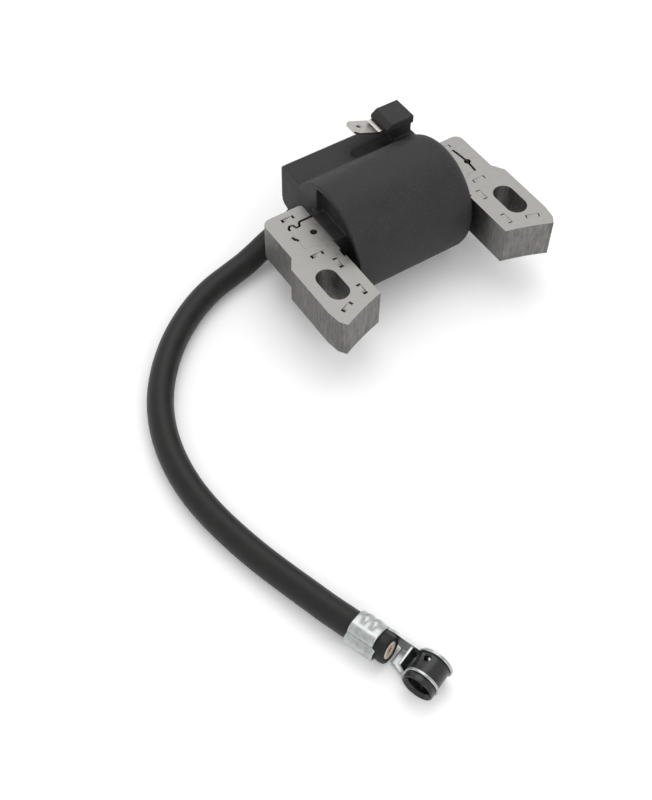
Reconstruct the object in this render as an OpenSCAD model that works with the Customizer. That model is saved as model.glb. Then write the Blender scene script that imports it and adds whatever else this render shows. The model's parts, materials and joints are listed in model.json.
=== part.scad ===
// Ignition coil for a small engine, with its spark plug lead.
// Origin: midway between the two mounting slots, on the mounting face of the core.
// +X runs from the left leg to the right leg, the pole faces look along -Y, +Z is up.

/* [Core] */
// Distance between the centres of the two mounting slots
slot_spacing = 63.5; // [62:0.5:65]
// Width of each mounting slot, for a quarter inch screw
slot_w = 6.6; // [6.4:0.1:7]
// End to end length of each mounting slot
slot_len = 12.3; // [10:0.1:13]
// Thickness of the lamination stack
stack_t = 12.7; // [12.2:0.1:13.2]
// Radius of the pole faces, the flywheel's radius plus the air gap
pole_r = 90; // [80:1:110]
// Width of the centre bar that carries the windings
bar_w = 12; // [11:0.5:12]
// Depth of the interlock stamps
stamp_depth = 0.3; // [0.1:0.1:0.5]

/* [Case] */
// Radius of the round winding section
case_r = 18.2; // [18:0.1:18.6]
// Left end of the case
case_left = -20.4; // [-20.8:0.1:-20.2]
// Right end of the case
case_right = 22; // [21.4:0.1:22]
// Thickness of the case wall
wall = 1.9; // [1.7:0.1:2]
// Distance of the back of the case from the slots' line
block_back = 45.3; // [45:0.1:47]
// Height of the flat top of the rear block
block_top = 16.8; // [16.5:0.1:17.5]
// Height of the top of the stop terminal's tower
tower_top = 24; // [23.5:0.1:26]

/* [Stop terminal] */
// Width of the blade
tab_w = 6.35; // [4.75:0.05:6.35]
// Thickness of the blade
tab_t = 0.8; // [0.5:0.1:0.8]
// Upward bend of the blade's free end, in degrees
tab_bend = 22; // [0:1:30]

/* [Lead] */
// Outer diameter of the rubber jacket
lead_d = 7.6; // [7:0.1:7.6]
// Diameter of the inner insulation
insulation_d = 5; // [4.5:0.1:5.5]
// Diameter of the stranded conductor
conductor_d = 1.6; // [1:0.1:2]

/* [Lead terminal] */
// Thickness of the terminal's sheet metal
sheet_t = 0.8; // [0.6:0.1:0.9]
// Radius of the two ears
ear_r = 4.7; // [4.6:0.05:4.75]
// Distance between the middles of the two ears
ear_pitch = 6.1; // [5.8:0.1:6.4]
// Bore of the plug socket, for a 6.35 mm plug terminal
socket_bore = 6.4; // [6.38:0.01:6.5]

/* [Hidden] */
$fn = 64;
eps = 0.01;
over = 1;                                    // how far a cutting shape runs past a face

// Core
leg_in = 22.2;                               // inner face of each leg
leg_out = 38.6;                              // outer face beside the slot
leg_waist = 36.1;                            // outer face behind the step
leg_back = 31.5;                             // back edge of the core
toe_x = 36.3;                                // front end of the outer face
step_y0 = 10.6;                              // step from the outer face in to the waist
step_y1 = 15.2;
step_r = 1.5;
back_r = 2.6;                                // roundings of the back corners
inner_back_r = 1.2;
nick_y0 = 7.2;                               // shallow nick in the inner face
nick_y1 = 10.2;
nick_depth = 0.7;
stamp_len = 4.2;
stamp_w = 1.3;
stamps = [[28.7, 28.6, 0], [29.2, 11.9, 0], [25.8, 6.1, 90], [25.8, -5.8, 90], [33, -9.1, -20]];
pole_in = -9.9;                              // where the pole face meets the inner face
pole_centre = pole_in - sqrt(pole_r * pole_r - leg_in * leg_in);
bar_y = 20.4;                                // middle of the bar and of the windings
mid_z = stack_t / 2;
tenon_end = 31;                              // reach of the bar into each leg
tenon_shoulder = 27;
tenon_step = 1.2;                            // how much narrower the tenon's end is
key_r = 1.05;                                // round hole of the interlock
key_x = 25.1;
key_y = 20.1;
gap_half = 0.35;                             // half of the width of the interlock's open gaps
s_gap_half = 0.42;
wavy_gap = [[-21, 26.6], [-22, 25.8], [-26.4, 25.8], [-27, 25.1], [-27.2, 24.3],
            [-28.5, 24.2], [-28.8, 25.5], [-29.8, 25.8], [-30.6, 25], [-30.7, 24.1]];
s_gap = [[-30.8, 19.3], [-30.9, 19.9], [-31.4, 20.3], [-31.5, 20.9], [-31.7, 21.6]];
keyhole_gap = [[30.2, 26.6], [30.5, 24.8], [30.8, 22], [31, 20], [30.8, 18], [30.6, 15.4]];
keyhole = [31, 20];
slot_x = slot_spacing / 2;

// Case
cavity_r = case_r - wall;
flat_z = -11;                                // underside, the open side of the case
resin_sink = 0.4;                            // the resin's face, inside the rim
rim_t = 1.5;                                 // rim round the hollow in the left end
recess_floor_z = -8;
recess_depth = 2.4;                          // hollow in the left end of the case
recess_back = 25.8;
cavity_x0 = case_left + recess_depth + wall;
cavity_x1 = case_right - wall;
end_round = 4;                               // rounding of the right end
block_bottom = 1.5;
block_floor = block_bottom + 1.6;
block_ceiling = block_top - 1.6;
block_inner = block_back - wall;
block_front = bar_y + 8;                     // front of the rear block's hollow, in the windings' space
flare = 36;                                  // angle at which the wall leaves the round, below
flare_y = case_r * cos(flare);
flare_z = case_r * sin(flare);
flat_half = flare_y - (mid_z - flare_z - flat_z) * tan(flare);
lead_y = 38.6;                               // where the lead leaves the case
lead_z = -2.4;
lead_seat = -9;                              // inner end of the lead's seat
gland_r = 5;
gland_x1 = 4;
well_half = 2.8;                             // space from the lead's seat up to the rear block
well_x1 = 2;
flare_short = 2;                             // the straight walls stop this far inside the right end
collar_t = 1;                                // collar round the bar, up to the left leg
collar_gap = 0.1;
scoop = [2, 37, 18.6];                       // end of the scooped hollow beside the tower
scoop_r = 3;
notch_y = 8;                                 // small moulding slot in the right end
notch_z = 18.6;
notch_half = [1.2, 0.4, 1.7];
notch_turn = 42;

// Windings, radii about the middle of the bar
primary_core_r = 9.6;
primary_r = 11.4;
secondary_core_r = 12.5;
secondary_r = 15;
flange_t = 1;
coil_x0 = cavity_x0 + 0.5;
coil_x1 = cavity_x1 - 0.5;
sections = 5;                                // winding sections of the secondary
section_pitch = (coil_x1 - coil_x0 - flange_t) / sections;
divider_over = 0.5;                          // how far the dividers stand above the winding

// Stop terminal
head_x0 = 11.2;
head_y0 = 35.6;
head_y1 = 44.5;
tower_right = 21.2;
stem_y0 = head_y0 + 1;
tower_cut = 38;                              // slope of the head's left edge
tower_lip = 1.2;                             // upright part of that edge, below the slope
cut_reach = 6;                               // more than the slope takes off
head_z0 = 21.3;
stem_x0 = 14.8;
tab_y = 40.8;
tab_z = head_z0;
tab_bend_x = 9.6;
tab_len = 8.8;
tab_corner = [2.9, 2.2];                     // what is cut off each corner of the free end
tab_hole_x = 5.5;                            // hole, from the bend
tab_hole_r = 0.9;
blade_root = stem_x0 + 0.6;
strip_x = 16.4;
strip_w = 3.6;
strip_foot_z = 9;

// Ignition module, on a board that stands behind the winding section
board_x0 = -13;
board_x1 = strip_x - tab_t;
board_y0 = tab_y - strip_w / 2;
board_t = 1.6;
board_z0 = 4.2;
board_z1 = 14.4;
transistor_size = [7, 2.4, 5];
transistor_at = [4, 8.6];                    // x and z of the lower left corner
chip_size = [5, 1.6, 3.9];
chip_at = [-4.5, 9.4];
resistor_r = 0.9;
resistor_len = 6;
resistor_xs = [-11, -8];
resistor_z = 7;
capacitor_at = [13.2, 11];                   // x and z of the middle
capacitor_r = 1.6;
capacitor_t = 1.5;
leaf_t = 0.4;                                // ground leaf
leaf_z0 = 8;
leaf_z1 = 11;
leaf_over = 2;                               // how far the leaf lies on the board
tail_r = 0.2;                                // primary winding's wire ends
tail_zs = [6, 12];
tail_x = cavity_x1 - 0.25;                   // where they pass the ends of the bobbins
tail_y0 = block_front;                       // where they leave the winding
tail_y1 = board_y0 + 1;                      // where they enter the board
fine_wire_r = 0.15;
pin_r = 0.7;                                 // pin in the lead's seat
pin_x1 = -3.2;
post_r = 0.35;                              // post from the pin to the winding
post_x = -4.2;
post_h = 9.6;

// Lead: the points that its middle line follows, from its seat to the cut end
lead_r = lead_d / 2;
sides = 12;
lead_route = [
    [-9, 38.6, -2.4], [-16, 38.6, -2.4], [-20.4, 38.6, -2.4], [-25, 38.4, -2.8],
    [-30, 37.9, -4.1], [-35, 37, -5.6], [-40, 36, -6.7], [-46, 34.8, -7.2],
    [-53, 32.9, -7.2], [-60, 29.9, -7.2], [-67.3, 25.4, -7.2], [-74.2, 19.8, -7.2],
    [-80.7, 12.8, -7.2], [-86.3, 4.6, -7.2], [-90.4, -4.7, -7.2], [-92.8, -14.6, -7.2],
    [-93.6, -24.6, -7.2], [-93, -34.3, -7.2], [-91.3, -44, -7.2], [-89.1, -53, -7.2],
    [-86.6, -61.5, -7], [-84.2, -69.3, -6.6], [-82.3, -75.4, -6.3], [-80.4, -80.6, -6.2],
    [-78.2, -86.7, -6.2], [-76, -92.75, -6.2]
];

// Lead terminal: its own axes lie on the lead's end, with the socket at their origin
term_pos = [-71.3, -102.3, -6.2];
term_turn = -70;                             // direction of the lead's end in plan
lead_side = -1.15;                           // the lead's middle, beside the socket's
seam_turn = 48;                              // side of the barrel where its wings meet
crimp_x0 = -21.3;
crimp_x1 = -13.8;
crimp_r = lead_r + sheet_t;
ear_in = (ear_pitch - sheet_t) / 2;
ear_out = ear_in + sheet_t;
floor_z0 = -4.6;
strap_top = 1.3;                             // upper edge of the strap
ear_arm_x = -9.5;                            // where the strap meets the far ear's arm
web_x = -5;                                  // cross web behind the socket
web_top = 0.8;
floor_y0 = -2;                               // near edge of the yoke's floor
near_arm_top = -1.2;
seam_w = 0.8;
neck_r = 3.6;
barrel_r = 4.2;
mouth_r = 4.3;
mouth_y = -5.3;
mouth_cone_r = 4;
mouth_cone_h = 1;
socket_end = 3.6;
peep_at = [-1.6, 1, 0];                      // inspection hole in the top of the barrel
peep_r = 0.9;
spring_wire = 0.25;                          // radius of the retaining spring's wire
spring_play = 0.02;
spring_arc = 300;
spring_start = 120;
groove_half = 0.3;

// ---- shared shapes ----

// A cylinder along X from x0 to x1, in the middle of the winding section unless told otherwise
module rod_x(x0, x1, r, y = bar_y, z = mid_z) {
    translate([x0, y, z]) rotate([0, 90, 0]) cylinder(h = x1 - x0, r = r);
}

// A cylinder along Y from y0 to y1
module rod_y(y0, y1, r, x = 0, z = 0) {
    translate([x, y1, z]) rotate([90, 0, 0]) cylinder(h = y1 - y0, r = r);
}

// A box from its lowest to its highest corner
module block(a, b) {
    translate(a) cube(b - a);
}

// Points of an arc, for outlines
function arc(c, r, a0, a1, n = 6) =
    [for (i = [0:n]) let (a = a0 + (a1 - a0) * i / n) c + r * [cos(a), sin(a)]];

function unit(v) = v / norm(v);
function heading(p, i) = unit(p[min(i + 1, len(p) - 1)] - p[max(i - 1, 0)]);

// Points beside a path in plan, at a distance d to its left
function beside(p, d) = [for (i = [0:len(p) - 1]) let (t = heading(p, i)) p[i] + d * [-t[1], t[0]]];
function backwards(p) = [for (i = [len(p) - 1:-1:0]) p[i]];

// A gap of constant width along a path, right through the stack
module gap(path, half) {
    translate([0, 0, -over]) linear_extrude(height = stack_t + 2 * over)
        polygon(concat(beside(path, half), backwards(beside(path, -half))));
}

// ---- core ----

// Outline of the right leg, seen from above, running past the pole face
function leg_outline() = concat(
    [[leg_in, pole_in - 6], [toe_x, -17], [toe_x, -14.9], [37.9, -12.6], [leg_out, -8.2]],
    arc([leg_out - step_r, step_y0], step_r, 0, 50),
    arc([leg_waist + step_r, step_y1], step_r, 230, 180),
    arc([leg_waist - back_r, leg_back - back_r], back_r, 0, 90),
    arc([leg_in + inner_back_r, leg_back - inner_back_r], inner_back_r, 90, 180)
);

// Middle line of an open gap as the end of the bar, from its front corner to its back edge
function gap_edge(path, side) =
    [for (p = backwards(path)) [side * p[0], min(p[1], bar_y + bar_w / 2)]];
function right_edge() = gap_edge(keyhole_gap, 1);
function left_edge() = concat([[tenon_end, bar_y - bar_w / 2 + tenon_step]], gap_edge(wavy_gap, -1));

// Half of the bar, whose end is a tenon in the leg; its end follows one of the open gaps
module tenon(end_edge, grow = 0) {
    half = bar_w / 2;
    linear_extrude(height = stack_t + 2 * grow)
        polygon(concat(
            [[0, bar_y - half], [tenon_shoulder, bar_y - half],
             [tenon_shoulder + tenon_step, bar_y - half + tenon_step]],
            end_edge,
            [[0, bar_y + half]]
        ));
}

// A slot along Y that goes right through the stack
module mounting_slot() {
    reach = (slot_len - slot_w) / 2;
    for (s = [-1, 1])
        translate([slot_x, s * reach, -over]) cylinder(h = stack_t + 2 * over, d = slot_w);
    block([slot_x - slot_w / 2, -reach, -over], [slot_x + slot_w / 2, reach, stack_t + over]);
}

// One interlock stamp pressed into the top sheet, at an x and y and turned in plan
module stamp(place) {
    translate([place[0], place[1], stack_t - stamp_depth]) rotate([0, 0, place[2]])
        translate([-stamp_len / 2, -stamp_w / 2, 0]) cube([stamp_len, stamp_w, over]);
}

module leg(end_edge) {
    difference() {
        linear_extrude(height = stack_t) polygon(leg_outline());
        translate([0, pole_centre, -over]) cylinder(h = stack_t + 2 * over, r = pole_r, $fn = 240);
        mounting_slot();
        translate([0, 0, -over]) tenon(end_edge, over);
        block([leg_in - over, nick_y0, -over], [leg_in + nick_depth, nick_y1, stack_t + over]);
        for (place = stamps) stamp(place);
    }
}

// Open parts of the joints between the legs and the bar
module interlock_gaps() {
    gap(wavy_gap, gap_half);
    gap(s_gap, s_gap_half);
    gap(keyhole_gap, gap_half);
    translate([keyhole[0], keyhole[1], -over]) cylinder(h = stack_t + 2 * over, r = key_r);
}

module left_leg_laminations() {
    color([0.72, 0.72, 0.7]) difference() {
        mirror([1, 0, 0]) leg(left_edge());
        interlock_gaps();
    }
}

module right_leg_laminations() {
    color([0.72, 0.72, 0.7]) difference() {
        leg(right_edge());
        interlock_gaps();
    }
}

module centre_bar_laminations() {
    color([0.7, 0.7, 0.68]) difference() {
        union() {
            tenon(right_edge());
            mirror([1, 0, 0]) tenon(left_edge());
        }
        for (s = [-1, 1])
            translate([s * key_x, key_y, -over]) cylinder(h = stack_t + 2 * over, r = key_r);
        interlock_gaps();
    }
}

// ---- case ----

// Round section with a rounded right end
module case_round() {
    long = case_right - case_left;
    translate([case_left, bar_y, mid_z]) rotate([0, 90, 0]) rotate_extrude($fn = 120)
        polygon(concat([[0, 0], [case_r, 0]],
            arc([case_r - end_round, long - end_round], end_round, 0, 90, 8),
            [[0, long]]));
}

// Straight walls that leave the round section and end at the flat, open underside
module case_flare(inset = 0, x0 = case_left, x1 = case_right - flare_short) {
    translate([x0, bar_y, 0]) rotate([90, 0, 90]) linear_extrude(height = x1 - x0)
        polygon([
            [-flat_half + inset / cos(flare), flat_z - (inset > 0 ? over : 0)],
            [flat_half - inset / cos(flare), flat_z - (inset > 0 ? over : 0)],
            [flare_y - inset * cos(flare), mid_z - flare_z + inset * sin(flare)],
            [0, mid_z],
            [-flare_y + inset * cos(flare), mid_z - flare_z + inset * sin(flare)]
        ]);
}

// Block behind the round section, with its lower and upper back edges rounded
module case_block() {
    low_r = 2.5;
    top_r = 0.8;
    translate([case_left, 0, 0]) rotate([90, 0, 90])
        linear_extrude(height = case_right - case_left) polygon(concat(
            [[bar_y, block_bottom]],
            arc([block_back - low_r, block_bottom + low_r], low_r, 270, 360),
            arc([block_back - top_r, block_top - top_r], top_r, 0, 90, 4),
            [[bar_y, block_top]]
        ));
}

// Tower that holds the stop terminal: an overhanging head on a narrower stem
module tower() {
    block([stem_x0, stem_y0, block_top - over], [tower_right, head_y1, head_z0 + over]);
    difference() {
        block([head_x0, head_y0, head_z0], [tower_right, head_y1, tower_top]);
        translate([head_x0, 0, head_z0 + tower_lip]) rotate([0, -tower_cut, 0])
            block([-cut_reach, head_y0 - over, 0], [cut_reach, head_y1 + over, cut_reach]);
    }
}

// Space inside the case, open at the underside
module cavity() {
    rod_x(cavity_x0, cavity_x1, cavity_r);
    case_flare(wall, cavity_x0, cavity_x1 - flare_short);
    block([cavity_x0, block_front, block_floor], [cavity_x1, block_inner, block_ceiling]);
    block([lead_seat, lead_y - well_half, lead_z - well_half],
          [well_x1, lead_y + well_half, block_floor + eps]);
}

// Collar of the case round the bar, filling the step up to the left leg
module bar_collar() {
    half = bar_w / 2 + collar_t;
    block([-leg_in + collar_gap, bar_y - half, -collar_t],
          [case_left + recess_depth, bar_y + half, stack_t + collar_t / 2]);
}

// Hollow left end inside its rim
module end_hollow() {
    intersection() {
        rod_x(case_left - over, case_left + recess_depth, case_r - rim_t);
        block([case_left - over, 0, recess_floor_z], [0, recess_back, tower_top]);
    }
}

// Hollow beside the tower's stem, round at its left end
module scooped_hollow() {
    rod_x(scoop[0], stem_x0, scoop_r, scoop[1], scoop[2]);
    translate(scoop) sphere(r = scoop_r);
}

module coil_case() {
    color([0.2, 0.2, 0.21]) difference() {
        union() {
            difference() {
                union() {
                    case_round();
                    case_flare();
                    case_block();
                    rod_x(case_left, gland_x1, gland_r, lead_y, lead_z);
                    tower();
                }
                end_hollow();
            }
            bar_collar();
        }
        cavity();
        // the open underside is flat
        block([case_left - over, -over, flat_z - case_r], [case_right + over, block_back, flat_z]);
        // way through for the centre bar
        block([-leg_in - over, bar_y - bar_w / 2, 0], [leg_in + over, bar_y + bar_w / 2, stack_t]);
        rod_x(case_left - over, lead_seat + over, lead_r, lead_y, lead_z);
        scooped_hollow();
        translate([case_right, notch_y, notch_z]) rotate([-notch_turn, 0, 0])
            block(-notch_half, [over, notch_half[1], notch_half[2]]);
        stop_blade();
    }
}

// ---- stop terminal ----

// Side view of the blade: flat in the tower, then bent upwards
module blade_profile() {
    miter = tab_t * tan(tab_bend / 2);
    tip = [tab_bend_x - tab_len * cos(tab_bend), tab_z + tab_len * sin(tab_bend)];
    polygon([
        [blade_root, tab_z], [tab_bend_x, tab_z], tip,
        tip - tab_t * [sin(tab_bend), cos(tab_bend)],
        [tab_bend_x - miter, tab_z - tab_t], [blade_root, tab_z - tab_t]
    ]);
}

// Plan of the blade, with its free corners cut off
module blade_plan() {
    half = tab_w / 2;
    tip_x = tab_bend_x - tab_len - over;
    corner = tip_x + tab_corner[0];
    polygon([
        [blade_root, -half], [blade_root, half], [corner, half],
        [tip_x, half - tab_corner[1]], [tip_x, -half + tab_corner[1]], [corner, -half]
    ]);
}

module stop_blade() {
    difference() {
        intersection() {
            translate([0, tab_y + tab_w, 0]) rotate([90, 0, 0])
                linear_extrude(height = 2 * tab_w) blade_profile();
            translate([0, tab_y, tab_z - tab_len]) linear_extrude(height = 2 * tab_len) blade_plan();
        }
        translate([tab_bend_x, tab_y, tab_z]) rotate([0, tab_bend, 0])
            translate([-tab_hole_x, 0, -tab_t - over]) cylinder(h = tab_t + 2 * over, r = tab_hole_r);
    }
    // narrower strip that turns down through the stem to the board
    translate([0, tab_y + strip_w / 2, 0]) rotate([90, 0, 0])
        linear_extrude(height = strip_w) polygon([
            [stem_x0, tab_z], [strip_x, tab_z], [strip_x, strip_foot_z],
            [strip_x - tab_t, strip_foot_z], [strip_x - tab_t, tab_z - tab_t],
            [stem_x0, tab_z - tab_t]
        ]);
}

module stop_terminal() {
    color([0.85, 0.85, 0.83]) stop_blade();
}

// ---- windings and bobbins ----

module bar_hole() {
    block([-leg_in, bar_y - bar_w / 2, 0], [leg_in, bar_y + bar_w / 2, stack_t]);
}

module primary_bobbin() {
    color([0.85, 0.82, 0.72]) difference() {
        union() {
            rod_x(coil_x0, coil_x1, primary_core_r);
            rod_x(coil_x0, coil_x0 + flange_t, primary_r);
            rod_x(coil_x1 - flange_t, coil_x1, primary_r);
        }
        bar_hole();
    }
}

module primary_winding() {
    color([0.72, 0.38, 0.2]) difference() {
        rod_x(coil_x0 + flange_t, coil_x1 - flange_t, primary_r);
        rod_x(coil_x0, coil_x1, primary_core_r);
    }
}

module secondary_bobbin() {
    color([0.15, 0.15, 0.15]) difference() {
        union() {
            rod_x(coil_x0, coil_x1, secondary_core_r);
            for (i = [0:sections])
                rod_x(coil_x0 + i * section_pitch, coil_x0 + i * section_pitch + flange_t,
                      secondary_r + divider_over);
        }
        rod_x(coil_x0 - over, coil_x1 + over, primary_r);
    }
}

module secondary_winding() {
    color([0.6, 0.3, 0.16])
        for (i = [0:sections - 1]) difference() {
            rod_x(coil_x0 + i * section_pitch + flange_t, coil_x0 + (i + 1) * section_pitch,
                  secondary_r);
            rod_x(coil_x0, coil_x1, secondary_core_r);
        }
}

// ---- ignition module ----

module circuit_board() {
    color([0.1, 0.35, 0.2])
        block([board_x0, board_y0, board_z0], [board_x1, board_y0 + board_t, board_z1]);
}

// A component that stands against the board's front, from its lower left corner
module on_board(place, size) {
    translate([place[0], board_y0 - size[1], place[1]]) cube(size);
}

module switching_transistor() {
    color([0.12, 0.12, 0.12]) on_board(transistor_at, transistor_size);
}

module control_chip() {
    color([0.1, 0.1, 0.1]) on_board(chip_at, chip_size);
}

module bias_resistors() {
    color([0.8, 0.7, 0.5])
        for (x = resistor_xs)
            translate([x, board_y0 - resistor_r, resistor_z])
                cylinder(h = resistor_len, r = resistor_r);
}

module timing_capacitor() {
    color([0.85, 0.55, 0.2])
        rod_y(board_y0 - capacitor_t, board_y0, capacitor_r, capacitor_at[0], capacitor_at[1]);
}

// Leaf from the board, past the end of the bobbins, to the side of the bar
module ground_contact() {
    board_back = board_y0 + board_t;
    color([0.8, 0.68, 0.4]) {
        block([cavity_x0, bar_y + bar_w / 2, leaf_z0], [cavity_x0 + leaf_t, board_back, leaf_z1]);
        block([cavity_x0, board_back, leaf_z0], [board_x0 + leaf_over, board_back + leaf_t, leaf_z1]);
    }
}

// The primary winding's two ends, led past the right ends of the bobbins to the board
module primary_tails() {
    color([0.72, 0.38, 0.2])
        for (z = tail_zs) {
            rod_y(tail_y0, tail_y1, tail_r, tail_x, z);
            rod_x(board_x1, tail_x, tail_r, tail_y1, z == tail_zs[0] ? z : z + eps);
        }
}

// Pin that the lead's core is pushed against, with its post up to the winding
module high_voltage_contact() {
    color([0.8, 0.68, 0.4]) {
        rod_x(lead_seat, pin_x1, pin_r, lead_y, lead_z);
        translate([post_x, lead_y, lead_z]) cylinder(h = post_h, r = post_r);
    }
}

module secondary_tail() {
    color([0.72, 0.38, 0.2])
        rod_y(bar_y + secondary_r - 2 * eps, lead_y - post_r + 5 * eps, fine_wire_r, post_x, mid_z);
}

// ---- resin ----

module potting_resin() {
    color([0.07, 0.07, 0.08]) difference() {
        cavity();
        bar_hole();
        rod_x(coil_x0, coil_x1, primary_r);
        secondary_bobbin();
        secondary_winding();
        circuit_board();
        switching_transistor();
        control_chip();
        bias_resistors();
        timing_capacitor();
        ground_contact();
        primary_tails();
        high_voltage_contact();
        secondary_tail();
        stop_blade();
        // the resin stops a little inside the rim
        block([case_left, 0, flat_z - case_r], [case_right, block_back, flat_z + resin_sink]);
    }
}

// ---- lead ----

// One ring of points round point i of a route, with its first point straight below
function ring(p, i, r) =
    let (t = heading(p, i), s = unit(cross(t, [0, 0, 1])), u = cross(s, t))
    [for (k = [0:sides - 1]) let (a = 360 * k / sides - 90) p[i] + r * (cos(a) * s + sin(a) * u)];

function rings(p, r) = [for (i = [0:len(p) - 1]) each ring(p, i, r)];

// Walls between neighbouring rings; "first" is the index of the first ring's first point
function walls(n, first, outward) = [
    for (i = [0:n - 2]) for (k = [0:sides - 1])
        let (j = (k + 1) % sides, a = first + i * sides, b = a + sides)
        outward ? [a + k, a + j, b + j, b + k] : [b + k, b + j, a + j, a + k]
];

// Solid cord along a route
module cord(p, r) {
    n = len(p);
    last = (n - 1) * sides;
    polyhedron(rings(p, r), concat(
        walls(n, 0, true),
        [[for (k = [sides - 1:-1:0]) k], [for (k = [0:sides - 1]) last + k]]
    ), convexity = 6);
}

// Hollow cord along a route
module tube(p, r_out, r_in) {
    n = len(p);
    hollow = n * sides;
    last = (n - 1) * sides;
    polyhedron(concat(rings(p, r_out), rings(p, r_in)), concat(
        walls(n, 0, true),
        walls(n, hollow, false),
        [for (k = [0:sides - 1]) let (j = (k + 1) % sides) [k, hollow + k, hollow + j, j]],
        [for (k = [0:sides - 1]) let (j = (k + 1) % sides)
            [last + k, last + j, hollow + last + j, hollow + last + k]]
    ), convexity = 8);
}

module lead_jacket() {
    color([0.12, 0.12, 0.12]) tube(lead_route, lead_r, insulation_d / 2);
}

module lead_insulation() {
    color([0.78, 0.72, 0.62]) tube(lead_route, insulation_d / 2, conductor_d / 2);
}

module lead_conductor() {
    color([0.72, 0.4, 0.2]) cord(lead_route, conductor_d / 2);
}

// ---- lead terminal, in its own axes: +X along the lead's end, +Y through the socket ----

module at_terminal() {
    translate(term_pos) rotate([0, 0, term_turn]) children();
}

// Barrel crimped round the jacket, with the seam where its wings meet
module crimp_barrel() {
    translate([0, lead_side, 0]) difference() {
        rod_x(crimp_x0, crimp_x1, crimp_r, 0, 0);
        rod_x(crimp_x0 - over, crimp_x1 + over, lead_r, 0, 0);
        rotate([seam_turn, 0, 0])
            block([crimp_x0 - over, -seam_w / 2, 0], [crimp_x1 + over, seam_w / 2, crimp_r + over]);
    }
}

// An ear with its arm back to the yoke; side is 1 for the far ear and -1 for the near one
module ear(side, arm_x, arm_z) {
    inner = side > 0 ? ear_in : -ear_out;
    difference() {
        union() {
            rod_y(inner, inner + sheet_t, ear_r);
            block([arm_x, inner, floor_z0], [0, inner + sheet_t, arm_z]);
        }
        rod_y(inner - over, inner + sheet_t + over, neck_r);
    }
}

// Strap from the crimp barrel to the far ear, in the far ear's plane
module strap() {
    difference() {
        block([crimp_x1 - over, ear_in, floor_z0 + sheet_t], [ear_arm_x + over, ear_out, strap_top]);
        translate([0, lead_side, 0]) rod_x(crimp_x0, ear_arm_x + 2 * over, lead_r, 0, 0);
    }
}

module lead_terminal() {
    color([0.8, 0.8, 0.78]) at_terminal() {
        crimp_barrel();
        strap();
        ear(1, ear_arm_x, strap_top);
        ear(-1, web_x - over, near_arm_top);
        block([ear_arm_x, floor_y0, floor_z0], [web_x, ear_out, floor_z0 + sheet_t]);
        block([web_x - sheet_t, -ear_out, floor_z0], [web_x, ear_out, web_top]);
    }
}

module plug_socket() {
    color([0.08, 0.08, 0.08]) at_terminal() difference() {
        union() {
            rod_y(mouth_y, -ear_out, mouth_r);
            rod_y(-ear_out - eps, socket_end, neck_r);
            rod_y(-ear_in, ear_in, barrel_r);
        }
        rod_y(mouth_y - over, socket_end + over, socket_bore / 2);
        translate([0, mouth_y, 0]) rotate([-90, 0, 0])
            cylinder(h = mouth_cone_h, r1 = mouth_cone_r, r2 = socket_bore / 2);
        // groove of the retaining spring
        rod_y(-groove_half, groove_half, socket_bore / 2 + 2 * (spring_wire + spring_play));
        // inspection hole in the top of the barrel
        translate(peep_at) cylinder(h = barrel_r + over, r = peep_r);
    }
}

module retaining_spring() {
    color([0.55, 0.55, 0.55]) at_terminal() rotate([90, 0, 0])
        rotate_extrude(angle = spring_arc, start = spring_start)
            translate([socket_bore / 2 + spring_wire + spring_play, 0])
                circle(r = spring_wire, $fn = 24);
}

left_leg_laminations();
right_leg_laminations();
centre_bar_laminations();
coil_case();
stop_terminal();
potting_resin();
primary_bobbin();
primary_winding();
secondary_bobbin();
secondary_winding();
circuit_board();
switching_transistor();
control_chip();
bias_resistors();
timing_capacitor();
ground_contact();
primary_tails();
high_voltage_contact();
secondary_tail();
lead_jacket();
lead_insulation();
lead_conductor();
lead_terminal();
plug_socket();
retaining_spring();
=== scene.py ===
import json
import math
import random

import bmesh
import bpy
from mathutils import Matrix, Vector


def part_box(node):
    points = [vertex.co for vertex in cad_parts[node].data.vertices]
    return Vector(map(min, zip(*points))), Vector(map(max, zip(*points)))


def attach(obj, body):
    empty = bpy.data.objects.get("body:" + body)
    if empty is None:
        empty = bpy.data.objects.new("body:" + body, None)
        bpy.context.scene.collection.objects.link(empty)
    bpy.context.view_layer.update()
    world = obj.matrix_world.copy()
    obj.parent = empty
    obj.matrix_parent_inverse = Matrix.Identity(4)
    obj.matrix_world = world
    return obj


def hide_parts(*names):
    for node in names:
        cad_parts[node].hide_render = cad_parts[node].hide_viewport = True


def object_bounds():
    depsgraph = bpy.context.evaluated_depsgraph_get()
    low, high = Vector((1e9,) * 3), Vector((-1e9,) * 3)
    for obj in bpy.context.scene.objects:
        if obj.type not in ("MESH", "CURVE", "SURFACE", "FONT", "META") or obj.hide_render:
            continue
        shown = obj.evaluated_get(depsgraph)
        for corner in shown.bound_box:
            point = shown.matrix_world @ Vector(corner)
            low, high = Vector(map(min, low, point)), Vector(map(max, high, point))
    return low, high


# Looks of an ignition coil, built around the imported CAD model. Blender's lengths are in metres;
# sizes below are written in millimetres and multiplied by MM.

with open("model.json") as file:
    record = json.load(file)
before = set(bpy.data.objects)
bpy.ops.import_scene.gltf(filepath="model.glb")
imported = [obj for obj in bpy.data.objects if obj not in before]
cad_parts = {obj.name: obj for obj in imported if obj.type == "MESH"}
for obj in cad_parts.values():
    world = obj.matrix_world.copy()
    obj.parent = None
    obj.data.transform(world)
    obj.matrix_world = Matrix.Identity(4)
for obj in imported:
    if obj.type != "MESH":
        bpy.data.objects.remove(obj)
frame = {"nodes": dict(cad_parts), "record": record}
cad_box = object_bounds()
RECORD = frame["record"]
MM = 0.001

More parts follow.
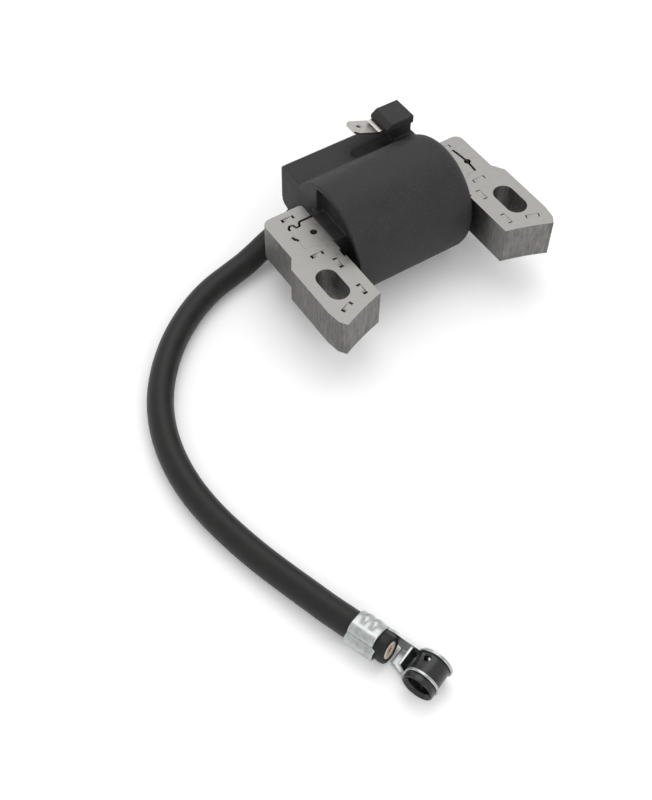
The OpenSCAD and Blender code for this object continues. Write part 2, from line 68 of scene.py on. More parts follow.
# The lead's middle line, from its seat in the case to its cut end, in millimetres
LEAD_ROUTE = [
    (-9, 38.6, -2.4), (-16, 38.6, -2.4), (-20.4, 38.6, -2.4), (-25, 38.4, -2.8),
    (-30, 37.9, -4.1), (-35, 37, -5.6), (-40, 36, -6.7), (-46, 34.8, -7.2),
    (-53, 32.9, -7.2), (-60, 29.9, -7.2), (-67.3, 25.4, -7.2), (-74.2, 19.8, -7.2),
    (-80.7, 12.8, -7.2), (-86.3, 4.6, -7.2), (-90.4, -4.7, -7.2), (-92.8, -14.6, -7.2),
    (-93.6, -24.6, -7.2), (-93, -34.3, -7.2), (-91.3, -44, -7.2), (-89.1, -53, -7.2),
    (-86.6, -61.5, -7), (-84.2, -69.3, -6.6), (-82.3, -75.4, -6.3), (-80.4, -80.6, -6.2),
    (-78.2, -86.7, -6.2), (-76, -92.75, -6.2),
]
LEAD_R = 3.8
INSULATION_R = 2.5
CONDUCTOR_R = 0.8
CUT_SLANT = 0.14

# Core: sheets in a stack, how many of them the stamps go through, and how far their edges stand back
SHEETS = 20
STAMPED_SHEETS = 3
UNEVEN = 0.02

# Lead terminal, in its own axes: +X along the lead's end, +Y through the socket
SHEET_T = 0.8
LEAD_SIDE = -1.15
CRIMP = (-21.3, -13.8)
CRIMP_R = LEAD_R + SHEET_T / 2
EAR_Y = 3.05
EAR_R = 4.7
NECK_R = 3.6
FLOOR_Z = -4.2
STRAP_TOP = 1.3
WEB_X = -5.4

# Plug socket, in the same axes
BORE_R = 3.2
GROOVE_R = 3.68
TAIL_R = 3.9
BODY_R = 4.2
MOUTH_R = 4.3

# Corners closer than this are one
WELD = 0.001

SLOT_OF = {part["node"]: part["material_slot"] for part in RECORD["subparts"]}


# ---- camera, floor and light ----

def link(name, data):
    piece = bpy.data.objects.new(name, data)
    bpy.context.scene.collection.objects.link(piece)
    return piece


def make_camera():
    """Camera in front of and to the left of the coil, looking down at it."""
    place = Vector((-157.9, -183.4, 258.7)) * MM
    target = Vector((-50.2, -25.0, 0)) * MM
    roll = math.radians(1.187)
    data = bpy.data.cameras.new("camera")
    data.lens = 52.92
    data.sensor_width = 36
    camera = link("camera", data)
    turn = (target - place).to_track_quat("-Z", "Y").to_matrix() @ Matrix.Rotation(roll, 3, "Z")
    camera.matrix_world = Matrix.Translation(place) @ turn.to_4x4()
    bpy.context.scene.camera = camera


def softbox(name, place, size, power):
    """A large square light that faces the coil."""
    data = bpy.data.lights.new(name, "AREA")
    data.shape = "SQUARE"
    data.size = size
    data.energy = power
    lamp = link(name, data)
    lamp.location = place
    lamp.rotation_euler = (-Vector(place)).to_track_quat("-Z", "Y").to_euler()


def make_studio():
    """A pale floor under the coil, two soft lights and a white sky."""
    low = cad_box[0][2]
    half = 3.0
    mesh = bpy.data.meshes.new("floor")
    corners = [(-half, -half, low), (half, -half, low), (half, half, low), (-half, half, low)]
    mesh.from_pydata(corners, [], [(0, 1, 2, 3)])
    mesh.materials.append(floor_material())
    link("floor", mesh)
    softbox("overhead", place=(0.3, 0.4, 0.95), size=0.9, power=3.6)
    softbox("front", place=(-0.2, -1.0, 0.6), size=0.6, power=3)
    world = bpy.data.worlds.new("studio")
    world.use_nodes = True
    sky = world.node_tree.nodes["Background"]
    sky.inputs["Color"].default_value = (1, 1, 1, 1)
    sky.inputs["Strength"].default_value = 0.92
    bpy.context.scene.world = world
    bpy.context.scene.view_settings.view_transform = "Standard"


# ---- materials ----

class Look:
    """A material made of one Principled shader and procedural textures."""

    def __init__(self, name, **values):
        self.material = bpy.data.materials.new(name)
        self.material.use_nodes = True
        self.tree = self.material.node_tree
        self.shader = self.tree.nodes["Principled BSDF"]
        self.here = self.tree.nodes.new("ShaderNodeTexCoord").outputs["Object"]
        for socket, value in values.items():
            self.shader.inputs[socket.replace("_", " ")].default_value = value

    def join(self, source, target):
        self.tree.links.new(source, target)

    def noise(self, size, detail=3.0, stretch=(1, 1, 1)):
        """Noise with features about size millimetres across, drawn out along an axis by stretch."""
        mapping = self.tree.nodes.new("ShaderNodeMapping")
        mapping.inputs["Scale"].default_value = [1 / s for s in stretch]
        self.join(self.here, mapping.inputs["Vector"])
        node = self.tree.nodes.new("ShaderNodeTexNoise")
        node.inputs["Scale"].default_value = 1 / (size * MM)
        node.inputs["Detail"].default_value = detail
        self.join(mapping.outputs["Vector"], node.inputs["Vector"])
        return node.outputs["Fac"]

    def bands(self, pitch, axis):
        """Even bands across an axis, pitch millimetres apart; at scale 1 they repeat every pi / 10."""
        node = self.tree.nodes.new("ShaderNodeTexWave")
        node.bands_direction = axis
        node.inputs["Scale"].default_value = math.pi / (10 * pitch * MM)
        node.inputs["Distortion"].default_value = 0.4
        self.join(self.here, node.inputs["Vector"])
        return node.outputs["Fac"]

    def ramp(self, source, *stops):
        """Colours or greys at places along a texture's range."""
        node = self.tree.nodes.new("ShaderNodeValToRGB")
        points = node.color_ramp.elements
        while len(points) < len(stops):
            points.new(0.5)
        for point, (place, value) in zip(points, stops):
            point.position = place
            point.color = (*([value] * 3 if isinstance(value, (int, float)) else value), 1)
        self.join(source, node.inputs["Fac"])
        return node.outputs["Color"]

    def mix(self, share, a, b, how="MIX"):
        """Two colours or textures blended by a texture or a share."""
        node = self.tree.nodes.new("ShaderNodeMix")
        node.data_type = "RGBA"
        node.blend_type = how
        share_in, a_in, b_in = node.inputs[0], node.inputs[6], node.inputs[7]
        for value, socket in ((share, share_in), (a, a_in), (b, b_in)):
            if isinstance(value, bpy.types.NodeSocket):
                self.join(value, socket)
            else:
                socket.default_value = value if isinstance(value, (int, float)) else (*value, 1)
        return node.outputs[2]

    def steepness(self):
        """0 on level faces and 1 on upright ones."""
        geometry = self.tree.nodes.new("ShaderNodeNewGeometry")
        split = self.tree.nodes.new("ShaderNodeSeparateXYZ")
        self.join(geometry.outputs["Normal"], split.inputs["Vector"])
        size = self.tree.nodes.new("ShaderNodeMath")
        size.operation = "ABSOLUTE"
        self.join(split.outputs["Z"], size.inputs[0])
        return self.ramp(size.outputs[0], (0.4, 1.0), (0.8, 0.0))

    def colour(self, source):
        self.join(source, self.shader.inputs["Base Color"])

    def roughness(self, source, low, high):
        self.join(self.ramp(source, (0.3, low), (0.7, high)), self.shader.inputs["Roughness"])

    def bump(self, *layers):
        """Surface relief; each layer is a texture and its depth in millimetres."""
        before = None
        for source, depth in layers:
            node = self.tree.nodes.new("ShaderNodeBump")
            node.inputs["Distance"].default_value = depth * MM
            self.join(source, node.inputs["Height"])
            if before is not None:
                self.join(before, node.inputs["Normal"])
            before = node.outputs["Normal"]
        self.join(before, self.shader.inputs["Normal"])


def floor_material():
    look = Look("pale_floor", Roughness=0.9, Specular_IOR_Level=0.1)
    look.colour(look.ramp(look.noise(300), (0.3, 0.95), (0.7, 0.97)))
    return look.material


def core_steel():
    """Rolled sheet on the level faces; upright faces darker, partly the sheared edges with upright
    tear marks and partly painted shade.
    """
    look = Look("core_steel", Metallic=1.0)
    steep = look.steepness()
    mottle = look.noise(2.5, 5)
    speck = look.noise(0.25, 2)
    tears = look.noise(0.6, 4, (1, 1, 8))
    level = look.ramp(mottle, (0.3, (0.27, 0.265, 0.255)), (0.7, (0.33, 0.325, 0.31)))
    level = look.mix(0.25, level, look.ramp(speck, (0.35, 0.7), (0.6, 1.0)), "MULTIPLY")
    # painted shade: the tone for upright faces is darker than the level one, standing in for shade on
    # the sides; its tear marks and stains are real
    sheared_and_shaded = look.ramp(tears, (0.3, (0.14, 0.14, 0.135)), (0.7, (0.25, 0.245, 0.235)))
    sheared_and_shaded = look.mix(0.5, sheared_and_shaded, look.ramp(look.noise(4, 3), (0.3, 0.6), (0.7, 1.0)), "MULTIPLY")
    stain = look.ramp(look.noise(3.5, 4), (0.6, 0.0), (0.75, 0.3))
    sheared_and_shaded = look.mix(stain, sheared_and_shaded, (0.13, 0.09, 0.06))
    # painted shade: the steepness mask puts the darker tone on every upright face and the lighter tone
    # on level tops
    look.colour(look.mix(steep, level, sheared_and_shaded))
    look.roughness(mottle, 0.42, 0.55)
    look.bump((tears, 0.015), (speck, 0.005))
    return look.material


def case_plastic():
    """Charcoal moulding with a fine grain and a few pale specks."""
    look = Look("case_plastic", Specular_IOR_Level=0.28)
    grain = look.noise(0.4, 4)
    cloud = look.noise(6, 5)
    body = look.ramp(cloud, (0.3, (0.017, 0.017, 0.018)), (0.7, (0.027, 0.027, 0.028)))
    body = look.mix(0.5, body, look.ramp(grain, (0.35, 0.55), (0.65, 1.0)), "MULTIPLY")
    specks = look.ramp(look.noise(0.35, 1), (0.68, 0.0), (0.76, 0.4))
    look.colour(look.mix(specks, body, (0.12, 0.12, 0.11)))
    look.roughness(cloud, 0.5, 0.68)
    look.bump((grain, 0.06), (look.noise(3, 2), 0.08))
    return look.material


def resin():
    """Poured epoxy: black and glossy, with a slightly uneven level."""
    look = Look("resin", Coat_Weight=0.3, Coat_Roughness=0.15)
    look.colour(look.ramp(look.noise(5), (0.3, (0.012, 0.012, 0.013)), (0.7, (0.02, 0.02, 0.021))))
    look.roughness(look.noise(2), 0.22, 0.36)
    look.bump((look.noise(6, 2), 0.25), (look.noise(0.8, 2), 0.01))
    return look.material


def plated(name, low, high, rough, stretch):
    """Bright plating with fine scratches, drawn out by stretch, and a cloudy tint."""
    look = Look(name, Metallic=1.0)
    cloud = look.noise(1.6, 4)
    scratch = look.noise(0.12, 3, stretch)
    tone = look.ramp(cloud, (0.3, low), (0.7, high))
    look.colour(look.mix(0.3, tone, look.ramp(scratch, (0.35, 0.5), (0.65, 1.0)), "MULTIPLY"))
    look.roughness(cloud, rough - 0.06, rough + 0.08)
    look.bump((scratch, 0.006), (cloud, 0.03))
    return look.material


def lead_rubber():
    """Extruded jacket: satin, with faint rubbed patches."""
    look = Look("lead_rubber", Specular_IOR_Level=0.25)
    rub = look.noise(4, 5)
    dust = look.ramp(look.noise(0.3, 2), (0.66, 0.0), (0.74, 0.35))
    body = look.ramp(rub, (0.3, (0.009, 0.009, 0.009)), (0.7, (0.014, 0.014, 0.013)))
    look.colour(look.mix(dust, body, (0.035, 0.035, 0.033)))
    look.roughness(rub, 0.38, 0.5)
    look.bump((look.noise(0.4, 3), 0.012), (look.noise(5, 2), 0.05))
    return look.material


def black_steel():
    """Blackened steel with worn, shinier places."""
    look = Look("black_steel", Coat_Weight=0.15, Coat_Roughness=0.15, Specular_IOR_Level=0.4)
    wear = look.noise(1.2, 4)
    look.colour(look.ramp(wear, (0.3, (0.005, 0.005, 0.006)), (0.75, (0.013, 0.013, 0.014))))
    look.roughness(wear, 0.2, 0.38)
    look.bump((look.noise(0.2, 3), 0.006), (wear, 0.02))
    return look.material


def wound(name, low, high, pitch, gloss):
    """Enamelled wire laid side by side along X, pitch millimetres apart."""
    look = Look(name, Metallic=0.6, Coat_Weight=0.6, Coat_Roughness=gloss)
    turns = look.bands(pitch, "X")
    tone = look.ramp(look.noise(3), (0.3, low), (0.7, high))
    look.colour(look.mix(0.5, tone, look.ramp(turns, (0.0, 0.35), (0.6, 1.0)), "MULTIPLY"))
    look.roughness(look.noise(1), 0.3, 0.42)
    look.bump((turns, pitch / 3))
    return look.material


def plain(name, low, high, rough, grain=0.4, depth=0.012, **values):
    """Moulded, lacquered or drawn finish: a cloudy tone, a grain and a fine relief."""
    look = Look(name, **values)
    fine = look.noise(grain, 3)
    look.colour(look.ramp(look.noise(grain * 6, 4), (0.3, low), (0.7, high)))
    look.roughness(fine, rough - 0.06, rough + 0.08)
    look.bump((fine, depth))
    return look.material


def make_materials():
    """One material for each of the record's material slots."""
    along_x, along_y = (6, 1, 1), (1, 7, 1)
    return {
        "core_steel": core_steel(),
        "case_plastic": case_plastic(),
        "tinned_blade": plated("tinned_blade", (0.46, 0.45, 0.42), (0.56, 0.55, 0.52), 0.34, along_x),
        "resin": resin(),
        "bobbin_plastic": plain("bobbin_plastic", (0.62, 0.56, 0.43), (0.72, 0.66, 0.52), 0.5),
        "secondary_plastic": plain("secondary_plastic", (0.03, 0.03, 0.03), (0.05, 0.05, 0.05), 0.5),
        "copper_wire": wound(
            "copper_wire", (0.42, 0.15, 0.06), (0.56, 0.22, 0.09), pitch=0.5, gloss=0.1),
        "fine_copper_wire": wound(
            "fine_copper_wire", (0.3, 0.1, 0.04), (0.42, 0.15, 0.06), pitch=0.15, gloss=0.2),
        "board_laminate": plain(
            "board_laminate", (0.02, 0.12, 0.05), (0.03, 0.17, 0.07), 0.3, grain=0.8),
        "chip_plastic": plain(
            "chip_plastic", (0.02, 0.02, 0.02), (0.035, 0.035, 0.035), 0.6, grain=0.2),
        "resistor_body": plain("resistor_body", (0.5, 0.38, 0.2), (0.6, 0.46, 0.26), 0.3),
        "capacitor_body": plain("capacitor_body", (0.5, 0.19, 0.03), (0.62, 0.25, 0.05), 0.3),
        "contact_brass": plated("contact_brass", (0.56, 0.4, 0.16), (0.7, 0.52, 0.24), 0.28, along_x),
        "lead_rubber": lead_rubber(),
        "lead_insulation": plain(
            "lead_insulation", (0.5, 0.43, 0.35), (0.62, 0.54, 0.45), 0.5, grain=0.3, depth=0.03),
        "lead_copper": plain("lead_copper", (0.3, 0.16, 0.09), (0.42, 0.24, 0.14), 0.4, Metallic=1.0),
        "zinc_plate": plated("zinc_plate", (0.38, 0.4, 0.39), (0.54, 0.56, 0.55), 0.32, along_y),
        "black_steel": black_steel(),
        "spring_steel": plain(
            "spring_steel", (0.22, 0.22, 0.23), (0.32, 0.32, 0.33), 0.28, Metallic=1.0),
    }


def finish_piece(piece, slot, *nodes):
    """Gives a piece its slot's material, lets it ride on the coil and stand for its CAD nodes."""
    piece.data.materials.clear()
    piece.data.materials.append(MATERIALS[slot])
    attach(piece, "root")
    if nodes:
        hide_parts(*nodes)
    return piece


# ---- mesh helpers ----

def skin(points, count, closed_long=False, closed_round=True):
    """Faces over rings of count points each, lying one after another in points."""
    rings = len(points) // count
    faces = []
    for i in range(rings if closed_long else rings - 1):
        a, b = i * count, (i + 1) % rings * count
        for k in range(count if closed_round else count - 1):
            j = (k + 1) % count
            faces.append((a + k, a + j, b + j, b + k))
    return faces


def mesh_piece(name, points, faces):
    """A piece from points in millimetres, its doubled points joined and its faces turned outwards."""
    mesh = bpy.data.meshes.new(name)
    mesh.from_pydata([tuple(Vector(p) * MM) for p in points], [], faces)
    shape = bmesh.new()
    shape.from_mesh(mesh)
    bmesh.ops.remove_doubles(shape, verts=shape.verts, dist=WELD * MM)
    bmesh.ops.recalc_face_normals(shape, faces=shape.faces)
    shape.to_mesh(mesh)
    shape.free()
    smooth_faces(mesh)
    return link(name, mesh)


def smooth_faces(mesh):
    mesh.polygons.foreach_set("use_smooth", [True] * len(mesh.polygons))


def applied(piece, *modifiers):
    """Runs modifiers, each a kind and its settings, and keeps their result as the piece's mesh."""
    for kind, settings in modifiers:
        modifier = piece.modifiers.new(kind.lower(), kind)
        for key, value in settings.items():
            setattr(modifier, key, value)
    bpy.context.view_layer.update()
    ready = piece.evaluated_get(bpy.context.evaluated_depsgraph_get())
    mesh = bpy.data.meshes.new_from_object(ready)
    piece.modifiers.clear()
    piece.data = mesh
    mesh.name = piece.name
    return piece


def softened(piece, voxel, times):
    """Rebuilds a piece as one skin with rounded edges, as moulding or pressing leaves them."""
    applied(
        piece,
        ("REMESH", {"mode": "VOXEL", "voxel_size": voxel * MM}),
        ("SMOOTH", {"factor": 0.5, "iterations": times}),
    )
    smooth_faces(piece.data)
    return piece


def copy_of(node, name):
    """A new piece with a CAD node's shape, its split edges joined again."""
    mesh = frame["nodes"][node].data.copy()
    shape = bmesh.new()
    shape.from_mesh(mesh)
    bmesh.ops.remove_doubles(shape, verts=shape.verts, dist=WELD * MM)
    shape.to_mesh(mesh)
    shape.free()
    return link(name, mesh)


# ---- case and blade ----

def make_case():
    """The moulding, with the valley between its round part and its rear block filled softly."""
    case = softened(copy_of("coil_case", "coil_case_moulding"), voxel=0.3, times=3)
    valley = case.vertex_groups.new(name="valley")
    middle = Vector((-4, 31, 16)) * MM
    half = Vector((17, 7, 5)) * MM
    for vertex in case.data.vertices:
        away = max(abs((vertex.co - middle)[k]) / half[k] for k in range(3))
        # whole in the inner half of the region, then less and less up to its edge
        weight = min(max(2 - 2 * away, 0), 1)
        if weight > 0:
            valley.add([vertex.index], weight, "REPLACE")
    smoothing = {"factor": 0.6, "iterations": 60, "vertex_group": "valley"}
    applied(case, ("SMOOTH", smoothing), ("DECIMATE", {"ratio": 0.35}))
    return finish_piece(case, "case_plastic", "coil_case")


def round_blade():
    """The blade keeps its CAD shape; only its edges are rounded."""
    rounding = frame["nodes"]["stop_terminal"].modifiers.new("rounding", "BEVEL")
    rounding.width = 0.12 * MM
    rounding.segments = 2


# ---- lead ----

def smooth_path(points, steps):
    """A smooth curve through the points, with steps places on each span."""
    points = [Vector(p) for p in points]
    ends = [2 * points[0] - points[1], *points, 2 * points[-1] - points[-2]]
    line = []
    for a, b, c, d in zip(ends, ends[1:], ends[2:], ends[3:]):
        for k in range(steps):
            t = k / steps
            curve = 2 * b + (c - a) * t + (2 * a - 5 * b + 4 * c - d) * t**2
            line.append(0.5 * (curve + (3 * b - a - 3 * c + d) * t**3))
    return [*line, points[-1]]


def ring(line, i, radius, count, slant=0.0, side=0.0, rise=0.0):
    """Points round the line at place i; slant tips the ring backwards towards its top."""
    ahead = (line[min(i + 1, len(line) - 1)] - line[max(i - 1, 0)]).normalized()
    across = ahead.cross(Vector((0, 0, 1))).normalized()
    up = across.cross(ahead)
    points = []
    for k in range(count):
        angle = 2 * math.pi * k / count
        y, z = side + radius * math.cos(angle), rise + radius * math.sin(angle)
        points.append(line[i] + across * y + up * z - ahead * z * slant)
    return points


def cord_solid(name, line, rings, count):
    """A closed solid over rings, each a place on the line and a radius, slanted at the cut end."""
    last = len(line) - 1
    points = []
    for i, radius in rings:
        points += ring(line, i, radius, count, CUT_SLANT if i == last else 0.0)
    return mesh_piece(name, points, skin(points, count, closed_long=True))


def tube(name, line, outer, inner, end_r, sides):
    """A tube along the line; its outer radius shrinks to end_r at the cut end."""
    last = len(line) - 1
    outside = [(i, outer) for i in range(last)] + [(last, end_r)]
    inside = [(i, inner) for i in reversed(range(last + 1))]
    return cord_solid(name, line, outside + inside, sides)


def make_lead(line):
    """The jacket and, a hair's breadth inside it, the insulation."""
    edge, gap = 0.15, 0.01
    jacket = tube("lead_jacket_skin", line, LEAD_R, INSULATION_R, LEAD_R - edge, 48)
    outer = INSULATION_R - gap
    insulation = tube("lead_insulation_core", line, outer, CONDUCTOR_R, INSULATION_R - edge, 32)
    return jacket, insulation


def make_strands(line):
    """Nineteen twisted strands: one in the middle, six round it and twelve outside."""
    strand_r = CONDUCTOR_R / 5
    drawn_r = strand_r * 0.98
    count = 6
    places_per_turn = 60
    points, faces = [], []
    layers = [(0, 1), (2, 6), (4, 12)]
    lays = [(away * strand_r, k / many) for away, many in layers for k in range(many)]
    for reach, start in lays:
        strand = []
        for i in range(0, len(line), 2):
            turn = 2 * math.pi * (start + i / places_per_turn)
            side, rise = reach * math.cos(turn), reach * math.sin(turn)
            strand += ring(line, i, drawn_r, count, 0.0, side, rise)
        offset = len(points)
        faces += [[offset + v for v in face] for face in skin(strand, count)]
        end = offset + len(strand)
        faces += [list(range(offset, offset + count))[::-1], list(range(end - count, end))]
        points += strand
    return mesh_piece("lead_strands", points, faces)


# ---- core ----

def face_loops(node, height, facing):
    """Closed outlines in plan of a node's level faces at one height, found on its own mesh."""
    mesh = frame["nodes"][node].data
    level, near, digits = 0.99, 0.01 * MM, 7
    uses = {}
    for face in mesh.polygons:
        if face.normal.z * facing < level or abs(face.center.z - height) > near:
            continue
        corners = [mesh.vertices[v].co for v in face.vertices]
        keys = [(round(c.x, digits), round(c.y, digits)) for c in corners]
        for a, b in zip(keys, keys[1:] + keys[:1]):
            edge = frozenset((a, b))
            uses[edge] = uses.get(edge, 0) + 1
    after = {}
    for edge in [e for e, n in uses.items() if n == 1]:
        a, b = edge
        after.setdefault(a, []).append(b)
        after.setdefault(b, []).append(a)
    loops = []
    while after:
        start = min(after)
        loop, here = [start], start
        while after.get(here):
            there = after[here].pop()
            after[there].remove(here)
            here = there
            if here != start:
                loop.append(here)
        after = {k: v for k, v in after.items() if v}
        loops.append(loop)
    return loops


def sheet_mesh(loops, low, high, inset):
    """One sheet between two heights with slightly rounded edges."""
    edge = 0.03 * MM
    curve = bpy.data.curves.new("sheet", "CURVE")
    curve.dimensions = "2D"
    curve.fill_mode = "BOTH"
    curve.extrude = (high - low) / 2 - edge
    curve.bevel_depth = edge
    curve.bevel_resolution = 0
    curve.offset = -(edge + inset)
    for loop in loops:
        spline = curve.splines.new("POLY")
        spline.points.add(len(loop) - 1)
        spline.use_cyclic_u = True
        for point, (x, y) in zip(spline.points, loop):
            point.co = (x, y, 0, 1)
    piece = link("sheet", curve)
    bpy.context.view_layer.update()
    mesh = bpy.data.meshes.new_from_object(piece.evaluated_get(bpy.context.evaluated_depsgraph_get()))
    mesh.transform(Matrix.Translation((0, 0, (low + high) / 2)))
    bpy.data.objects.remove(piece)
    bpy.data.curves.remove(curve)
    return mesh


def tongue(shape, loop, top, end_gap, dip):
    """The pressed tongue in a stamp: a thin strip, a little below the surface, open at both ends."""
    corners = [Vector((x, y, 0)) for x, y in loop]
    middle = sum(corners, Vector()) / len(corners)
    sides = [b - a for a, b in zip(corners, corners[1:] + corners[:1])]
    along = max(sides, key=lambda s: s.length)
    across = min(sides, key=lambda s: s.length)
    side_gap, sunk, thick = 0.06, 0.06, 0.3 * MM
    half_long = along.length / 2 - end_gap * MM
    half_wide = across.length / 2 - side_gap * MM
    along, across = along.normalized(), across.normalized()
    rows = 7
    grid = []
    for i in range(rows):
        t = 2 * i / (rows - 1) - 1
        z = top - (sunk + dip * (1 - t * t)) * MM
        for y, drop in ((-1, 0), (1, 0), (1, thick), (-1, thick)):
            place = middle + along * half_long * t + across * half_wide * y
            grid.append(shape.verts.new((place.x, place.y, z - drop)))
    for face in skin(grid, 4):
        shape.faces.new([grid[v] for v in face])
    shape.faces.new(grid[:4])
    shape.faces.new(grid[-4:][::-1])


def make_stack(node, name, end_gap, dip):
    """A stack of sheets with a CAD node's outline, and the stamps in its top sheets."""
    lowest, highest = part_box(node)
    plain_loops = face_loops(node, lowest.z, -1)
    top_loops = face_loops(node, highest.z, 1)
    pitch = (highest.z - lowest.z) / SHEETS
    shape = bmesh.new()
    for i in range(SHEETS):
        loops = top_loops if i >= SHEETS - STAMPED_SHEETS else plain_loops
        low = lowest.z + i * pitch
        mesh = sheet_mesh(loops, low, low + pitch, random.uniform(0, UNEVEN) * MM)
        shape.from_mesh(mesh)
        bpy.data.meshes.remove(mesh)
    for loop in top_loops:
        if len(loop) == 4:
            tongue(shape, loop, highest.z, end_gap, dip)
    bmesh.ops.remove_doubles(shape, verts=shape.verts, dist=WELD / 2 * MM)
    bmesh.ops.recalc_face_normals(shape, faces=shape.faces)
    mesh = bpy.data.meshes.new(name)
    shape.to_mesh(mesh)
    shape.free()
    return finish_piece(link(name, mesh), "core_steel", node)


# ---- lead terminal and plug socket ----

def terminal_axes():
    """Matrix from the terminal's own axes to the frame, taken from the socket's bore."""
    bore = next(m for m in RECORD["mounts"] if m["name"] == "plug_socket_bore")
    across = -Vector(bore["axis"]).normalized()
    up = Vector((0, 0, 1))
    along = across.cross(up)
    bore_ahead = 1.2
    middle = Vector(bore["pos_m"]) + across * bore_ahead * MM
    turn = Matrix((along, across, up)).transposed()
    return Matrix.Translation(middle) @ turn.to_4x4()


def ease(t):
    """A smooth step from 0 to 1."""
    t = min(max(t, 0.0), 1.0)
    return t * t * (3 - 2 * t)


def hump(distance, width):
    """A smooth bump, 1 at no distance and fading over the width."""
    return math.exp(-((distance / width) ** 2))


def grid_surface(points, faces, rows, columns, place):
    """Adds a surface of rows by columns squares, with place(u, v) for u and v from 0 to 1."""
    first = len(points)
    count = columns + 1
    surface = [place(i / rows, j / columns) for i in range(rows + 1) for j in range(count)]
    faces += [[first + v for v in face] for face in skin(surface, count, closed_round=False)]
    points += surface


def crimp_place(u, v):
    """The crimp barrel: two wings that curl in where they meet, with two pressed dents."""
    seam, split = 55, 0.5
    valley, lobe, lobe_at = 0.62, 0.42, 35
    lip = 0.9
    dents = (CRIMP[0] + 2.4, CRIMP[0] + 4.9)
    dent_at, bulge_at, depth = 292, 254, 0.35
    from_seam = split + (360 - 2 * split) * v
    near = min(from_seam, 360 - from_seam)
    radius = CRIMP_R - valley * hump(near, 10) + lobe * hump(near - lobe_at, 16)
    x = CRIMP[0] + (CRIMP[1] - CRIMP[0]) * u
    if from_seam < 180:
        x += lip * u * ease((120 - from_seam) / 60)
    for dent in dents:
        press = hump(x - dent, 0.7) * hump(from_seam - dent_at, 20)
        bulge = hump(x - dent, 0.85) * hump(from_seam - bulge_at, 24)
        radius += depth * bulge - depth * press
    angle = math.radians(90 + seam + from_seam)
    return x, LEAD_SIDE + radius * math.cos(angle), radius * math.sin(angle)


def strap_place(u, v):
    """The strap: round where it leaves the barrel, then flat up to the far ear."""
    start, end = CRIMP[1] - 1.0, -2.0
    x = start + (end - start) * u
    narrow, widens_at, shoulder = -3.0, -12, 0.5
    low = narrow + (FLOOR_Z - narrow) * ease((x - widens_at) / 3)
    high = STRAP_TOP + shoulder * (1 - ease((x - start) / 4))
    z = low + (high - low) * v
    rounded = LEAD_SIDE + math.sqrt(CRIMP_R**2 - min(abs(z), 4) ** 2)
    return x, rounded + (EAR_Y - rounded) * ease((x - CRIMP[1]) / 2.5), z


def ear_place(y):
    """An ear at y: a flat ring round the socket's neck."""
    inner = NECK_R + 0.05

    def place(u, v):
        radius = inner + (EAR_R - inner) * v
        return radius * math.cos(2 * math.pi * u), y, radius * math.sin(2 * math.pi * u)
    return place


def floor_place(u, v):
    """The yoke's floor, wider towards the near ear."""
    start, narrow, flare = -9.5, 2.0, 1.05
    x = start + (WEB_X - start) * u
    near = -narrow - flare * ease(u)
    return x, near + (EAR_Y - near) * v, FLOOR_Z


def web_place(u, v):
    """The cross web, with its upper edge curled back towards the lead."""
    top, curl_from, curl = 0.8, -2.0, 1.3
    z = FLOOR_Z + (top - FLOOR_Z) * u
    back = curl * ease((z - curl_from) / (top - curl_from))
    return WEB_X - back, -EAR_Y + 2 * EAR_Y * v, z


def near_arm_place(u, v):
    """The arm from the web to the near ear, lower towards the ear."""
    end, high, drop = -3.0, -1.2, 0.4
    x = WEB_X + (end - WEB_X) * u
    top = high - drop * u
    return x, -EAR_Y, FLOOR_Z + (top - FLOOR_Z) * v


def make_terminal(axes):
    """One pressed sheet: crimp barrel, strap, yoke and two ears."""
    surfaces = [
        (40, 120, crimp_place), (40, 14, strap_place),
        (64, 3, ear_place(EAR_Y)), (64, 3, ear_place(-EAR_Y)),
        (12, 16, floor_place), (16, 16, web_place), (8, 6, near_arm_place),
    ]
    points, faces = [], []
    for rows, columns, place in surfaces:
        grid_surface(points, faces, rows, columns, place)
    piece = mesh_piece("lead_terminal_pressing", points, faces)
    applied(piece, ("SOLIDIFY", {"thickness": SHEET_T * MM, "offset": 0, "use_even_offset": True}))
    softened(piece, voxel=0.13, times=5)
    piece.data.transform(axes)
    return finish_piece(piece, "zinc_plate", "lead_terminal")


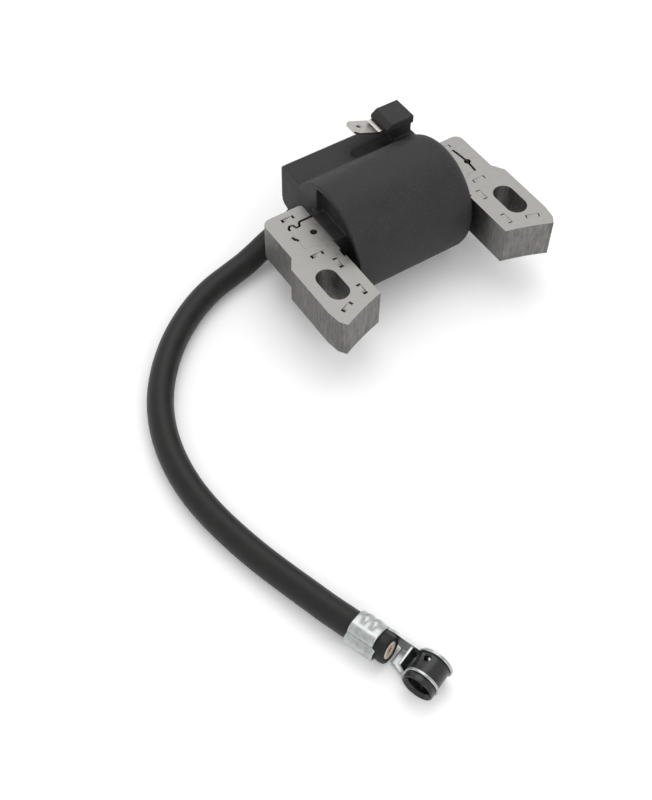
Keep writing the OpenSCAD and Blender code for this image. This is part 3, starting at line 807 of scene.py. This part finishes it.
def socket_profile():
    """Radius and place along Y round the socket's wall, outside first and then back inside."""
    mouth, end = -5.3, 3.6
    outside = [
        (4.05, mouth), (4.25, mouth + 0.12), (MOUTH_R, mouth + 0.35), (MOUTH_R, -3.65), (4.22, -3.5),
        (NECK_R, -3.46), (NECK_R, -2.66), (4.12, -2.62), (BODY_R, -2.5), (BODY_R, 2.5), (4.12, 2.62),
        (NECK_R, 2.66), (NECK_R, 3.46), (TAIL_R, 3.48), (TAIL_R, end - 0.06), (3.8, end),
    ]
    inside = [
        (3.3, end), (BORE_R, end - 0.12), (BORE_R, 0.32), (GROOVE_R, 0.3), (GROOVE_R, -0.3),
        (BORE_R, -0.32), (BORE_R, mouth + 1.0), (3.95, mouth + 0.08),
    ]
    return outside + inside


def make_socket(axes):
    """A turned sleeve with a flanged mouth and an inspection hole in its top."""
    count = 96
    profile = socket_profile()
    points = []
    for k in range(count):
        angle = 2 * math.pi * k / count
        points += [(r * math.cos(angle), y, r * math.sin(angle)) for r, y in profile]
    sleeve = mesh_piece("plug_socket_sleeve", points, skin(points, len(profile), closed_long=True))
    hole_x, hole_y, hole_r, sides = -1.6, 1.0, 0.9, 32
    angles = [2 * math.pi * k / sides for k in range(sides)]
    drill = []
    for z in (0.0, 6.0):
        drill += [(hole_x + hole_r * math.cos(a), hole_y + hole_r * math.sin(a), z) for a in angles]
    caps = [list(range(sides))[::-1], list(range(sides, 2 * sides))]
    cutter = mesh_piece("cutter", drill, skin(drill, sides) + caps)
    applied(sleeve, ("BOOLEAN", {"operation": "DIFFERENCE", "solver": "EXACT", "object": cutter}))
    bpy.data.objects.remove(cutter)
    applied(sleeve, ("BEVEL", {"width": 0.06 * MM, "segments": 2, "limit_method": "ANGLE"}))
    smooth_faces(sleeve.data)
    sleeve.data.transform(axes)
    return finish_piece(sleeve, "black_steel", "plug_socket")


# ---- assembly ----

random.seed(7)
make_camera()
MATERIALS = make_materials()

lead_line = smooth_path(LEAD_ROUTE, steps=8)
jacket, insulation = make_lead(lead_line)
finish_piece(jacket, "lead_rubber", "lead_jacket")
finish_piece(insulation, "lead_insulation", "lead_insulation")
strands = finish_piece(make_strands(lead_line), "lead_copper", "lead_conductor")

axes = terminal_axes()
terminal = make_terminal(axes)
socket = make_socket(axes)

make_studio()
make_stack("left_leg_laminations", "left_leg_sheets", end_gap=0.7, dip=0.2)
make_stack("right_leg_laminations", "right_leg_sheets", end_gap=0.35, dip=0.06)
make_stack("centre_bar_laminations", "centre_bar_sheets", end_gap=0.5, dip=0.1)

make_case()
round_blade()

for part, node in frame["nodes"].items():
    if not node.hide_render:
        node.data.materials.clear()
        node.data.materials.append(MATERIALS[SLOT_OF[part]])
